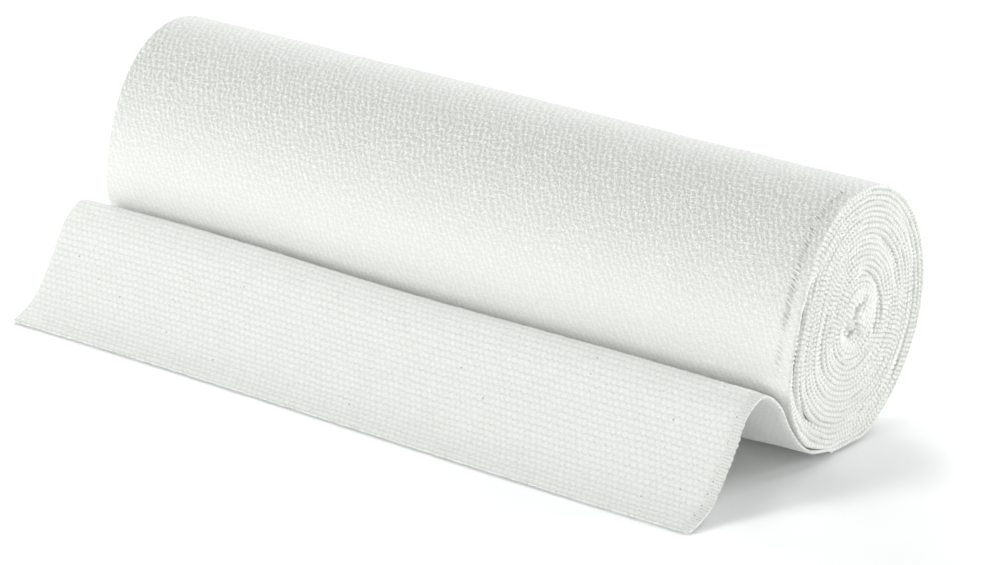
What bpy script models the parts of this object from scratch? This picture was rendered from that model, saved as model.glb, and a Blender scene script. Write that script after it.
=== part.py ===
"""Short stretch bandage roll: one woven cotton strip wound on itself, with its last stretch lying off in front.

Metres, +Z up. The roll's axis runs along X and the loose end lies towards -Y. The roll and the loose end's front
edge rest on z = 0. Angles round the roll are seen from +X: 0 is the back, a quarter turn is the top.
"""

import math

import bmesh
import bpy
import numpy as np

MM = 0.001

# The cloth
CLOTH_WIDTH = 200 * MM
CLOTH_THICKNESS = 1.1 * MM
PIECE_GAP = 0.3 * MM  # between the roll and the loose end, which are one strip in life

# The wound form's outline: a round, made oval and a little three-cornered by hand winding
ROLL_RADIUS = 28.0 * MM
OVAL = 0.101  # share of the radius that the oval adds along its long way
OVAL_ANGLE = math.radians(69.3)  # its long way leans back from upright
CORNERED = 0.024
CORNERED_ANGLE = math.radians(-12.8)
RIGHT_SAG = 1.1 * MM  # the outer turns hang slack where the loose end pulls away, more so at the right
LEFT_SAG = -0.7 * MM
SAG_ANGLE = math.radians(205)
SAG_SPREAD = math.radians(24)
OUTER_TURNS_FROM = 0.6  # only the turns beyond this share of the radius hang slack or show the step
FLAT_DEPTH = 0.8 * MM  # how far the foot is pressed flat
ROOT_ANGLE = math.radians(253)  # where the outermost turn leaves the foot
RIM_ROUNDING = 0.9 * MM
FOOT_LIFT = 0.8 * MM  # the foot curls off the floor at its right end
FOOT_LIFT_LENGTH = 27 * MM
FOOT_LIFT_REACH = 15 * MM

# The ends: turns slid sideways against each other, so a groove on one end is a ridge on the other
GROOVE_COLUMNS = ("start_angle", "end_angle", "start_reach", "middle_reach", "end_reach", "depth_mm", "half_width_mm")
GROOVES = (
    (125, 245, 0.84, 0.90, 0.80, 1.3, 1.0),
    (-60, 55, 0.87, 0.875, 0.885, 0.7, 0.9),
    (0, 75, 0.585, 0.61, 0.645, 0.9, 1.1),
    (-45, 95, 0.30, 0.335, 0.365, 1.1, 1.0),
    (145, 232, 0.52, 0.54, 0.50, 1.0, 1.1),
)
GROOVE_FADE = math.radians(22)
HEART_REACH = 0.2  # the folded inner end fills this share of the radius
HEART_DEPTH = 2.2 * MM
FOLD_HEIGHT = 1.9 * MM
FOLD_ANGLE = math.radians(62)
FOLD_HALF_WIDTH = 1.3 * MM

# Faces of the wound form
ROUND_STEPS = 72
STEP_COLUMN = math.radians(359.2)  # the last column of faces stands this far round from the step
END_RINGS = 23

# The loose end's course after its root, down to its front edge: the middle of the cloth at each side edge, in
# millimetres in front of the roll's axis and above the floor
COURSE_COLUMNS = ("right_forward", "right_height", "left_forward", "left_height")
COURSE = (
    (12.1, 0.9, 12.0, 0.9),
    (17.4, 3.0, 17.1, 2.8),
    (22.5, 7.0, 21.7, 6.5),
    (26.9, 12.8, 25.5, 11.9),
    (31.0, 19.4, 28.5, 18.7),
    (37.2, 23.2, 33.0, 23.4),
    (43.4, 20.2, 39.3, 20.2),
    (48.5, 12.6, 44.0, 12.8),
    (54.8, 4.9, 49.8, 5.2),
    (59.6, 1.9, 54.4, 2.0),
    (64.6, 0.59, 58.9, 0.59),
)
COURSE_STEPS = 44
ACROSS_STEPS = 14
WAVE_HEIGHT = 0.35 * MM  # the crest isn't quite straight across the cloth
WAVES_ACROSS = 1.5

WOVEN_COTTON = (0.80, 0.82, 0.78, 1.0)
LOOSE_COTTON = (0.77, 0.80, 0.76, 1.0)
COTTON_ROUGHNESS = 0.92


def clear_scene():
    for old in list(bpy.data.objects):
        bpy.data.objects.remove(old, do_unlink=True)


def cotton(name, colour):
    material = bpy.data.materials.new(name)
    material.use_nodes = True
    shader = material.node_tree.nodes["Principled BSDF"]
    shader.inputs["Base Color"].default_value = colour
    shader.inputs["Roughness"].default_value = COTTON_ROUGHNESS
    shader.inputs["Metallic"].default_value = 0.0
    material.diffuse_color = colour
    return material


def smooth_step(value):
    value = min(max(value, 0.0), 1.0)
    return value * value * (3 - 2 * value)


def bump(distance, half_width):
    """1 at distance 0, falling softly to nothing at about twice the half width."""
    return math.exp(-((distance / half_width) ** 2))


def angle_between(a, b):
    return abs((a - b + math.pi) % (2 * math.pi) - math.pi)


def outline_radius(angle, slack=0.0):
    """The outer turns' distance from the axis, before the spiral's own step."""
    oval = OVAL * math.cos(2 * (angle - OVAL_ANGLE))
    cornered = CORNERED * math.cos(3 * (angle - CORNERED_ANGLE))
    sag = slack * bump(angle_between(angle, SAG_ANGLE), SAG_SPREAD)
    return ROLL_RADIUS * (1 + oval + cornered) + sag


def spiral_step(turned):
    """What the spiral adds this far round from the root: a turn later it is one cloth thickness less."""
    whole_turn = CLOTH_THICKNESS + PIECE_GAP
    return CLOTH_THICKNESS / 2 - whole_turn * turned / (2 * math.pi)


def lowest_reach():
    """How far the unpressed outline reaches below the axis."""
    turns = np.linspace(0, 2 * math.pi, 720, endpoint=False)
    return max(-(outline_radius(ROOT_ANGLE + t) + spiral_step(t)) * math.sin(ROOT_ANGLE + t) for t in turns)


AXIS_HEIGHT = lowest_reach() - FLAT_DEPTH
ROOT_FORWARD = -(outline_radius(ROOT_ANGLE) + spiral_step(0)) * math.cos(ROOT_ANGLE)


def foot_lift(x, y):
    """How far the foot curls up here, for the roll and for the root of the loose end under it."""
    along = smooth_step((x - CLOTH_WIDTH / 2 + FOOT_LIFT_LENGTH) / FOOT_LIFT_LENGTH)
    return FOOT_LIFT * along * bump(y + ROOT_FORWARD, FOOT_LIFT_REACH)


def groove_depth(groove, angle, reach):
    row = dict(zip(GROOVE_COLUMNS, groove))
    start = math.radians(row["start_angle"])
    end = math.radians(row["end_angle"])
    along = (angle - start) % (2 * math.pi)
    if along > end - start:
        return 0.0
    share = along / (end - start)
    fade = smooth_step(along / GROOVE_FADE) * smooth_step((end - start - along) / GROOVE_FADE)
    middle_bulge = row["middle_reach"] - (row["start_reach"] + row["end_reach"]) / 2
    centre = row["start_reach"] + (row["end_reach"] - row["start_reach"]) * share
    centre += 4 * middle_bulge * share * (1 - share)
    distance = (reach - centre) * ROLL_RADIUS
    return row["depth_mm"] * MM * fade * bump(distance, row["half_width_mm"] * MM)


def slide(angle, reach):
    """How far the turns at this place have slid towards -X."""
    return sum(groove_depth(groove, angle, reach) for groove in GROOVES)


def heart_sink(angle, reach):
    """How far the inner end's folds lie inside the face: a hollow with one folded tongue across it."""
    hollow = 1 - smooth_step(reach / HEART_REACH)
    across = reach * ROLL_RADIUS * math.sin(angle - FOLD_ANGLE)
    return hollow * (HEART_DEPTH - FOLD_HEIGHT * bump(across, FOLD_HALF_WIDTH))


def half_profile():
    """(x, radius) from the middle of the right end to the middle of the left end, for a plain round roll."""
    half = CLOTH_WIDTH / 2
    lift_ring = (half - FOOT_LIFT_LENGTH, ROLL_RADIUS)
    mid_lift_ring = (half - FOOT_LIFT_LENGTH / 2, ROLL_RADIUS)
    rings = [reach / END_RINGS * (ROLL_RADIUS - RIM_ROUNDING) for reach in range(END_RINGS + 1)]
    rim = [
        (half - RIM_ROUNDING * (1 - math.cos(turn)), ROLL_RADIUS - RIM_ROUNDING * (1 - math.sin(turn)))
        for turn in (math.pi / 4, math.pi / 2)
    ]
    right = [(half, radius) for radius in rings] + rim
    return right + [mid_lift_ring, lift_ring] + [(-x, radius) for x, radius in reversed(right)]


def turned_roll():
    """The plain round roll, its profile turned about X."""
    outline = bpy.data.meshes.new("roll_profile")
    points = half_profile()
    outline.from_pydata([(x, 0, radius) for x, radius in points], [(i, i + 1) for i in range(len(points) - 1)], [])
    guide = bpy.data.objects.new("roll_profile", outline)
    bpy.context.scene.collection.objects.link(guide)
    screw = guide.modifiers.new("turned", "SCREW")
    screw.axis = "X"
    screw.steps = ROUND_STEPS
    screw.render_steps = ROUND_STEPS
    screw.use_merge_vertices = True
    screw.merge_threshold = 0.00001
    bpy.context.view_layer.update()
    mesh = bpy.data.meshes.new_from_object(guide.evaluated_get(bpy.context.evaluated_depsgraph_get()))
    bpy.data.objects.remove(guide, do_unlink=True)
    return mesh


def wind(mesh):
    """Moves the round roll's points to the hand-wound form."""
    step = 2 * math.pi / ROUND_STEPS
    for point in mesh.vertices:
        x, y, z = point.co
        reach = min(math.hypot(y, z) / ROLL_RADIUS, 1.0)
        across = x / CLOTH_WIDTH + 0.5
        column = round((math.atan2(z, y) % (2 * math.pi)) / step) % ROUND_STEPS
        last_column = (ROUND_STEPS - 1) * step
        widening = 1 + (STEP_COLUMN / last_column - 1) * smooth_step(reach)
        turned = column * step * widening
        angle = ROOT_ANGLE + turned
        outer = smooth_step((reach - OUTER_TURNS_FROM) / (1 - OUTER_TURNS_FROM))
        slack = outer * (LEFT_SAG + (RIGHT_SAG - LEFT_SAG) * across)
        radius = reach * (outline_radius(angle, slack) + spiral_step(turned) * outer)
        forward = radius * math.cos(angle)
        height = max(AXIS_HEIGHT + radius * math.sin(angle), 0.0)
        height += foot_lift(x, forward) * smooth_step(1 - height / AXIS_HEIGHT)
        sink = math.copysign(heart_sink(angle, reach), x)
        point.co = (x - slide(angle, reach) - sink, forward, height)


def face_outwards(mesh):
    shape = bmesh.new()
    shape.from_mesh(mesh)
    bmesh.ops.recalc_face_normals(shape, faces=shape.faces)
    bmesh.ops.triangulate(shape, faces=[face for face in shape.faces if len(face.verts) > 4])
    shape.to_mesh(mesh)
    shape.free()


def wound_roll(collection):
    mesh = turned_roll()
    wind(mesh)
    face_outwards(mesh)
    mesh.shade_smooth()
    roll = bpy.data.objects.new("wound_roll", mesh)
    mesh.materials.clear()
    mesh.materials.append(cotton("wound_crepe_cotton", WOVEN_COTTON))
    collection.objects.link(roll)
    return roll


def smooth_course(points):
    """Points of a smooth curve through the rows, evenly spaced along it."""
    points = np.array(points)
    padded = np.vstack([2 * points[0] - points[1], points, 2 * points[-1] - points[-2]])
    fine = []
    for i in range(1, len(padded) - 2):
        before, here, after, beyond = padded[i - 1 : i + 3]
        for t in np.linspace(0, 1, 16, endpoint=False):
            bend = (2 * before - 5 * here + 4 * after - beyond) * t**2
            turn = (3 * here - before - 3 * after + beyond) * t**3
            fine.append(0.5 * (2 * here + (after - before) * t + bend + turn))
    fine.append(points[-1])
    fine = np.array(fine)
    length = np.concatenate([[0], np.cumsum(np.linalg.norm(np.diff(fine, axis=0), axis=1))])
    even = np.linspace(0, length[-1], COURSE_STEPS + 1)
    return np.column_stack([np.interp(even, length, fine[:, axis]) for axis in range(2)])


def side_course(side):
    forward = COURSE_COLUMNS.index(side + "_forward")
    height = COURSE_COLUMNS.index(side + "_height")
    root = (-ROOT_FORWARD - PIECE_GAP, CLOTH_THICKNESS / 2)
    return smooth_course([root] + [(-row[forward] * MM, row[height] * MM) for row in COURSE])


def loose_end(collection):
    """An open sheet laid between its two side courses, then given the cloth's thickness."""
    right = side_course("right")
    left = side_course("left")
    shape = bmesh.new()
    bmesh.ops.create_grid(shape, x_segments=ACROSS_STEPS, y_segments=COURSE_STEPS, size=1.0)
    for point in shape.verts:
        across = (point.co.x + 1) / 2
        row = round((point.co.y + 1) / 2 * COURSE_STEPS)
        blend = smooth_step(across)
        y, z = left[row] + (right[row] - left[row]) * blend
        x = (across - 0.5) * CLOTH_WIDTH
        height_share = z / right[:, 1].max()
        z += WAVE_HEIGHT * height_share * math.sin(2 * math.pi * WAVES_ACROSS * across)
        z += foot_lift(x, y) * smooth_step(1 - z / AXIS_HEIGHT)
        point.co = (x, y, z)
    bmesh.ops.recalc_face_normals(shape, faces=shape.faces)
    mesh = bpy.data.meshes.new("loose_end")
    shape.to_mesh(mesh)
    shape.free()
    mesh.shade_smooth()
    sheet = bpy.data.objects.new("loose_end", mesh)
    mesh.materials.append(cotton("loose_plain_cotton", LOOSE_COTTON))
    thickness = sheet.modifiers.new("cloth_thickness", "SOLIDIFY")
    thickness.thickness = CLOTH_THICKNESS
    thickness.offset = 0
    thickness.use_even_offset = True
    collection.objects.link(sheet)
    return sheet


def set_over_middle(pieces):
    """Moves the pieces together so that the middle of their shared footprint is over the origin."""
    bpy.context.view_layer.update()
    graph = bpy.context.evaluated_depsgraph_get()
    corners = np.array([corner for piece in pieces for corner in piece.evaluated_get(graph).bound_box])
    middle = (corners.max(axis=0) + corners.min(axis=0)) / 2
    for piece in pieces:
        piece.location = (-middle[0], -middle[1], 0.0)


def main():
    clear_scene()
    bandage = bpy.data.collections.new("short_stretch_bandage_roll")
    bpy.context.scene.collection.children.link(bandage)
    set_over_middle([wound_roll(bandage), loose_end(bandage)])


main()
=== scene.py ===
"""Short stretch bandage roll: one strip of woven cotton wound by hand, its last stretch lying off in front.

The frame's metres, +Z up. The roll's axis runs along X and the loose end lies towards -Y. The strip is made as
cloth is: one course that starts at the front edge, rises over a fold, runs under the roll and winds inwards.
"""

import functools
import math

import bmesh
import bpy
import numpy as np
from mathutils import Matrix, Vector


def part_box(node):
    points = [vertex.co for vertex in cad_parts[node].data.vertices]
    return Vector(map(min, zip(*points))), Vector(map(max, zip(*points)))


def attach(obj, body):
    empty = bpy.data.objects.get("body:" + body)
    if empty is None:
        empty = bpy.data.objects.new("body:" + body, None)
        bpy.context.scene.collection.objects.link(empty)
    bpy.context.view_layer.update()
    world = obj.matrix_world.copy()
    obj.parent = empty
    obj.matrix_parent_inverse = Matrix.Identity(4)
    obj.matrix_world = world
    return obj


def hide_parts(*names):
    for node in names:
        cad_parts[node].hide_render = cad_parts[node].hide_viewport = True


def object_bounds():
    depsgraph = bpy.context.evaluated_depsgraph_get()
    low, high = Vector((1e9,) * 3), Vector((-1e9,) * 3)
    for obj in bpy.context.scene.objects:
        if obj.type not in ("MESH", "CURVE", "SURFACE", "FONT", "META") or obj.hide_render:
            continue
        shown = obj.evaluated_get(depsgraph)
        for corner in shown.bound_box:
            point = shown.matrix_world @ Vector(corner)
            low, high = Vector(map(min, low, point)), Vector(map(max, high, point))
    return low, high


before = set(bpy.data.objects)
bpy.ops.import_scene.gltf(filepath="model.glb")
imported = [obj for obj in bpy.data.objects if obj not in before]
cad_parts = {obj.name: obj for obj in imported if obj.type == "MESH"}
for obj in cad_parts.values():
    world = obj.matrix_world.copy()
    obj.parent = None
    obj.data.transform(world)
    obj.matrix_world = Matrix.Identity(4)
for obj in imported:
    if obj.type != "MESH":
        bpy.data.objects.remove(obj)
cad_low, cad_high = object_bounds()

MM = 0.001

# The cloth
CLOTH_WIDTH = 200.0
CLOTH_THICKNESS = 1.1
PIECE_GAP = 0.3  # between the roll and the loose end, as the frame has it
TURNS = 25.0  # from the root to the heart: the radius over the rows' spacing, not a count of them
RIB_PITCH = 1.5  # weft ribs on the face that was wound inwards
KNUCKLE_PITCH = 1.65  # the warp's crowns along one rib, staggered from rib to rib
CREPE_PITCH = 1.62  # the same crowns on the outer face, where the overtwisted warp pulls them askew
CREPE_ROW = 1.43  # and draws their rows together

# A crown's half width in crowns, its half length in rows, and its slant in crowns to a row
PLAIN_CROWN = (0.66, 0.60, 0.0)
CREPE_CROWN = (0.42, 0.60, 0.28)
CREPE_STROKE = (0.22, 0.60, 0.42)  # the back of each twisted warp yarn, and the weft that crosses it: raised in the bump and painted bright as highlights
CREPE_WEFT = (0.40, 0.20, -0.4)
LOOP_PITCH = 1.12  # weft loops along the strip's edges
SELVEDGE_WIDTH = 2.6
LEFT_BAND = 0.03  # how much of the selvedge's band shows on the left, where the ribs run out to the edge

# The wound form's outline, as the frame has it. Its oval and cornered values come from a least-squares fit.
# Angles are seen from +X: 0 is the back, a quarter turn is the top
ROLL_RADIUS = 28.0
OVAL = 0.101  # share of the radius that the oval adds along its long way
OVAL_ANGLE = math.radians(69.3)  # its long way leans back from upright
CORNERED = 0.024
CORNERED_ANGLE = math.radians(-12.8)
RIGHT_SAG = 1.1  # the outer turns hang slack where the loose end pulls away, more so at the right
LEFT_SAG = -0.7
SAG_ANGLE = math.radians(205)
SAG_SPREAD = math.radians(24)
LEFT_TUCK = 2.2  # the lower front corner at the left end is drawn in
LEFT_TUCK_REACH = 0.08
LEFT_TUCK_ANGLE = math.radians(212)
LEFT_TUCK_SPREAD = math.radians(13)
FLAT_DEPTH = 0.8  # how far the foot is pressed flat
ROOT_ANGLE = math.radians(253)  # where the outermost turn leaves the foot
FOOT_LIFT = 0.8  # the foot curls off the floor at its right end
FOOT_LIFT_LENGTH = 27.0
FOOT_LIFT_REACH = 15.0

# Turns slid sideways: start and end angle, reach at the start, middle and end, depth and half width
GROOVES = (
    (125, 245, 0.84, 0.90, 0.80, 1.3, 1.0),
    (-60, 55, 0.87, 0.875, 0.885, 0.7, 0.9),
    (0, 75, 0.585, 0.61, 0.645, 0.9, 1.1),
    (-45, 95, 0.30, 0.335, 0.365, 1.1, 1.0),
    (145, 232, 0.52, 0.54, 0.50, 0.65, 1.1),
)
GROOVE_FADE = math.radians(22)
HEART_REACH = 0.2  # the folded inner end fills this share of the radius
SLIT_HALF = 3.4  # the first turns are wound flat round a folded end
SLIT_ANGLE = math.radians(46)
SLIT_REACH = 8.0

# The loose end's course after its root: the middle of the cloth at the right and the left side, forward of the
# roll's axis and above the floor
COURSE = (
    (12.1, 0.9, 12.0, 0.9),
    (17.4, 3.0, 17.1, 2.8),
    (22.5, 7.0, 21.7, 6.5),
    (26.9, 12.8, 25.5, 11.9),
    (31.0, 19.4, 28.5, 18.7),
    (37.2, 23.2, 33.0, 23.4),
    (43.4, 20.2, 39.3, 20.2),
    (48.5, 12.6, 44.0, 12.8),
    (54.8, 4.9, 49.8, 5.2),
    (59.6, 1.9, 54.4, 2.0),
    (64.6, 0.59, 58.9, 0.59),
)
WAVE_HEIGHT = 0.35  # the arch's crest isn't quite straight across the cloth
WAVES_ACROSS = 1.5


# ---------------------------------------------------------------- shapes in numbers


def smooth_step(value):
    """0 below 0 and 1 above 1, easing in and out between them."""
    value = np.clip(value, 0.0, 1.0)
    return value * value * (3 - 2 * value)


def bump(distance):
    """1 at no distance, fading to nothing by about 2 on either side."""
    return np.exp(-(distance**2))


def angle_between(a, b):
    """How far apart two directions are, from 0 to half a turn."""
    return np.abs((a - b + math.pi) % (2 * math.pi) - math.pi)


def wander(u, v, seed):
    """Soft random hills from -1 to 1 over a plane, one hill to each unit square."""
    table = np.random.default_rng(seed).uniform(-1, 1, (61, 59))
    u0, v0 = np.floor(u), np.floor(v)
    fu, fv = smooth_step(u - u0), smooth_step(v - v0)
    i, j = u0.astype(int) % 61, v0.astype(int) % 59
    i1, j1 = (i + 1) % 61, (j + 1) % 59
    low = table[i, j] * (1 - fu) + table[i1, j] * fu
    high = table[i, j1] * (1 - fu) + table[i1, j1] * fu
    return low * (1 - fv) + high * fv


def outline_radius(angle, across):
    """The wound form's radius at the middle of its outermost cloth; across runs from 0 at the left end to 1."""
    oval = OVAL * np.cos(2 * (angle - OVAL_ANGLE))
    cornered = CORNERED * np.cos(3 * (angle - CORNERED_ANGLE))
    slack = LEFT_SAG + (RIGHT_SAG - LEFT_SAG) * across
    sagging = slack * bump(angle_between(angle, SAG_ANGLE) / SAG_SPREAD)
    tuck = LEFT_TUCK * (1 - smooth_step(across / LEFT_TUCK_REACH))
    tuck = tuck * bump(angle_between(angle, LEFT_TUCK_ANGLE) / LEFT_TUCK_SPREAD)
    return ROLL_RADIUS * (1 + oval + cornered) + sagging - tuck


def lowest_reach():
    """How far the unpressed outline reaches below the axis."""
    turned = np.linspace(0, 2 * math.pi, 720, endpoint=False)
    whole_turn = CLOTH_THICKNESS + PIECE_GAP
    radius = outline_radius(ROOT_ANGLE + turned, -LEFT_SAG / (RIGHT_SAG - LEFT_SAG))
    radius += CLOTH_THICKNESS / 2 - whole_turn * turned / (2 * math.pi)
    return float(np.max(-radius * np.sin(ROOT_ANGLE + turned)))


AXIS_HEIGHT = lowest_reach() - FLAT_DEPTH
ROOT_FORWARD = -float((outline_radius(ROOT_ANGLE, 0.4) + CLOTH_THICKNESS / 2) * math.cos(ROOT_ANGLE))
loose_low, loose_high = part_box("loose_end")
MIDDLE_X = (loose_low.x + loose_high.x) / 2 / MM
AXIS_Y = (cad_low.y / MM) + COURSE[-1][0]


def near_right_end(x):
    """0 along the strip's width, rising to 1 at its right edge."""
    return smooth_step((x - CLOTH_WIDTH / 2 + FOOT_LIFT_LENGTH) / FOOT_LIFT_LENGTH)


def foot_lift(x, y):
    """How far the foot curls off the floor."""
    return FOOT_LIFT * near_right_end(x) * bump((y + ROOT_FORWARD) / FOOT_LIFT_REACH)


def strip_length(turned):
    """Length along the wound strip from its root, this far round."""
    return ROLL_RADIUS * (turned - turned**2 / (4 * math.pi * TURNS))


def turned_at(length):
    """How far round the strip has turned at this length from its root."""
    return 2 * math.pi * TURNS * (1 - np.sqrt(1 - length / (ROLL_RADIUS * math.pi * TURNS)))


def slide(angle, reach):
    """How far the turns here have slid towards -X, so that a groove at the right is a ridge at the left."""
    total = np.zeros_like(angle)
    for start, end, first, middle, last, depth, half_width in GROOVES:
        start, end = math.radians(start), math.radians(end)
        along = (angle - start) % (2 * math.pi)
        share = along / (end - start)
        fade = smooth_step(along / GROOVE_FADE) * smooth_step((end - start - along) / GROOVE_FADE)
        centre = first + (last - first) * share + 4 * (middle - (first + last) / 2) * share * (1 - share)
        total += np.where(share <= 1, depth * fade * bump((reach - centre) * ROLL_RADIUS / half_width), 0.0)
    return total


def wound_place(turned, x):
    """(y from the axis, height, reach) along the strip, this far round from its root."""
    angle = ROOT_ANGLE + turned
    reach = 1 - turned / (2 * math.pi * TURNS)
    radius = reach * outline_radius(angle, x / CLOTH_WIDTH + 0.5)
    y, z = radius * np.cos(angle), radius * np.sin(angle)
    flat = SLIT_HALF * (1 - smooth_step(radius / SLIT_REACH))
    along = np.clip(1.6 * np.cos(angle - SLIT_ANGLE), -1, 1) * flat
    y, z = y + along * math.cos(SLIT_ANGLE), z + along * math.sin(SLIT_ANGLE)
    height = AXIS_HEIGHT + z
    pressed = CLOTH_THICKNESS / 2 + CLOTH_THICKNESS * turned / (2 * math.pi)
    height = np.where(z < 0, np.maximum(height, pressed), height)
    height = height + foot_lift(x, y) * smooth_step(1 - height / AXIS_HEIGHT)
    return y, height, reach


def smooth_course(points, count):
    """count + 1 points of a smooth curve through the rows, evenly spaced along it, and its length."""
    points = np.array(points, float)
    padded = np.vstack([2 * points[0] - points[1], points, 2 * points[-1] - points[-2]])
    fine = []
    for i in range(1, len(padded) - 2):
        before, here, after, beyond = padded[i - 1 : i + 3]
        t = np.linspace(0, 1, 24, endpoint=False)[:, None]
        bend = (2 * before - 5 * here + 4 * after - beyond) * t**2
        turn = (3 * here - before - 3 * after + beyond) * t**3
        fine.append(0.5 * (2 * here + (after - before) * t + bend + turn))
    fine = np.vstack([*fine, points[-1:]])
    length = np.concatenate([[0], np.cumsum(np.hypot(*np.diff(fine, axis=0).T))])
    even = np.linspace(0, length[-1], count + 1)
    return np.column_stack([np.interp(even, length, fine[:, k]) for k in range(2)]), float(length[-1])


COURSE_STEPS = 1600
ROOT_HEIGHT = CLOTH_THICKNESS / 2
CLING = 0.75  # the right end hugs the roll a little past its root
CLING_AT = 12.5
CLING_REACH = 4.0
ROOT = (ROOT_FORWARD, ROOT_HEIGHT)
RIGHT_COURSE, LOOSE_LENGTH = smooth_course([ROOT] + [row[:2] for row in COURSE], COURSE_STEPS)
LEFT_COURSE, _ = smooth_course([ROOT] + [row[2:] for row in COURSE], COURSE_STEPS)


def loose_place(share, x):
    """(y from the axis, height) of the loose end's middle, from share 0 at the root to 1 at the front edge."""
    steps = np.linspace(0, 1, COURSE_STEPS + 1)
    blend = smooth_step(x / CLOTH_WIDTH + 0.5)
    spots = []
    for k in range(2):
        left = np.interp(share, steps, LEFT_COURSE[:, k])
        right = np.interp(share, steps, RIGHT_COURSE[:, k])
        spots.append(left + (right - left) * blend)
    forward, height = spots
    crest = RIGHT_COURSE[:, 1].max()
    height = height + WAVE_HEIGHT * height / crest * np.sin(2 * math.pi * WAVES_ACROSS * (x / CLOTH_WIDTH + 0.5))
    height = height + foot_lift(x, -forward) * smooth_step(1 - height / AXIS_HEIGHT)
    cling = near_right_end(x) * bump((forward - CLING_AT) / CLING_REACH)
    return -forward, height + CLING * cling


# ---------------------------------------------------------------- cloth faces


def crown_places(x, s):
    """Counted places of the plain weave: crowns across and rows along, wandering a little as woven by hand."""
    crown = x / KNUCKLE_PITCH + 0.16 * wander(x / 5, s / 4, 5) + 0.12 * wander(x / 1.6, s / 1.4, 2)
    row = s / RIB_PITCH + 0.12 * wander(x / 9, s / 5, 3) + 0.07 * wander(x / 1.8, s / 1.6, 4)
    return crown, row


def crown_relief(crown, row, shape):
    """Height of a plain weave from 0 between its crowns to 1 on them: rounded, and staggered like bricks."""
    half_width, half_length, slant = shape
    height = np.zeros_like(crown)
    for step in (0, 1):
        which = np.floor(row) + step
        along = row - which
        aside = (crown + 0.5 * (which % 2) - slant * along) % 1 - 0.5
        dome = 1 - (aside / half_width) ** 2 - (along / half_length) ** 2
        height = np.maximum(height, np.sqrt(np.maximum(dome, 0)))
    return height


def crepe_places(x, s):
    """Counted places of the crepe face, where the overtwisted warp throws the crowns about."""
    crown = x / CREPE_PITCH + 0.30 * wander(x / 5, s / 7, 7) + 0.30 * wander(x / 1.3, s / 1.2, 8)
    row = s / CREPE_ROW + 0.40 * wander(x / 4, s / 6, 9) + 0.32 * wander(x / 1.2, s / 1.4, 10)
    return crown, row


def mesh_of(name, points, faces, uv, material, places=None):
    """A mesh from points in millimetres. uv is millimetres across and along the strip, places counted threads."""
    mesh = bpy.data.meshes.new(name)
    points = np.asarray(points, float) * MM
    quads = [np.asarray(f, np.int32) for f in faces]
    loops = np.concatenate([f.ravel() for f in quads])
    sizes = np.concatenate([np.full(len(f), f.shape[1]) for f in quads])
    mesh.vertices.add(len(points))
    mesh.vertices.foreach_set("co", points.astype(np.float32).ravel())
    mesh.loops.add(len(loops))
    mesh.loops.foreach_set("vertex_index", loops)
    mesh.polygons.add(len(sizes))
    mesh.polygons.foreach_set("loop_start", np.concatenate([[0], np.cumsum(sizes)[:-1]]))
    layer = mesh.uv_layers.new(name="strip")
    layer.data.foreach_set("uv", (np.asarray(uv, float)[loops] * MM).astype(np.float32).ravel())
    if places is not None:
        layer = mesh.uv_layers.new(name="weave")
        layer.data.foreach_set("uv", np.asarray(places, float)[loops].astype(np.float32).ravel())
    mesh.update(calc_edges=True)
    mesh.validate()
    mesh.shade_smooth()
    mesh.materials.append(material)
    thing = bpy.data.objects.new(name, mesh)
    bpy.context.scene.collection.objects.link(thing)
    return thing


def grid_faces(rows, columns, start=0, flip=False):
    """Four-sided faces over a grid of points, counted from start."""
    index = start + np.arange(rows * columns).reshape(rows, columns)
    faces = np.stack([index[:-1, :-1], index[:-1, 1:], index[1:, 1:], index[1:, :-1]], -1).reshape(-1, 4)
    return faces[:, ::-1] if flip else faces


def zip_rows(a, b, where_a, where_b, flip=False):
    """Triangles between two rows of points that run the same way, whatever their counts."""
    triangles, i, j = [], 0, 0
    while i < len(a) - 1 or j < len(b) - 1:
        step_a = j == len(b) - 1 or (i < len(a) - 1 and where_a[i + 1] <= where_b[j + 1])
        triangles.append((a[i], b[j], a[i + 1]) if step_a else (a[i], b[j], b[j + 1]))
        i, j = (i + 1, j) if step_a else (i, j + 1)
    triangles = np.array(triangles)
    return triangles[:, ::-1] if flip else triangles


def face_towards(thing, outward):
    """Turns the faces so that they look along the given directions, one at each point."""
    mesh = thing.data
    normals = np.empty(len(mesh.vertices) * 3, np.float32)
    mesh.vertex_normals.foreach_get("vector", normals)
    if (normals.reshape(-1, 3) * outward).sum() < 0:
        mesh.flip_normals()


def keep(thing, name, values):
    """Stores one number at each point, for the material to read."""
    layer = thing.data.attributes.new(name, "FLOAT", "POINT")
    layer.data.foreach_set("value", np.asarray(values, np.float32).ravel())


def outward_of(y, z):
    """Unit outward directions of a course that runs round anticlockwise, along its first axis."""
    dy, dz = np.gradient(y, axis=0), np.gradient(z, axis=0)
    length = np.maximum(np.hypot(dy, dz), 1e-9)
    return dz / length, -dy / length


def to_row(x, y, z):
    """Points in the frame, from places along the axis, behind it and above the floor."""
    return np.stack([x + MIDDLE_X, y + AXIS_Y, z], -1)


# ---------------------------------------------------------------- the wound roll

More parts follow.
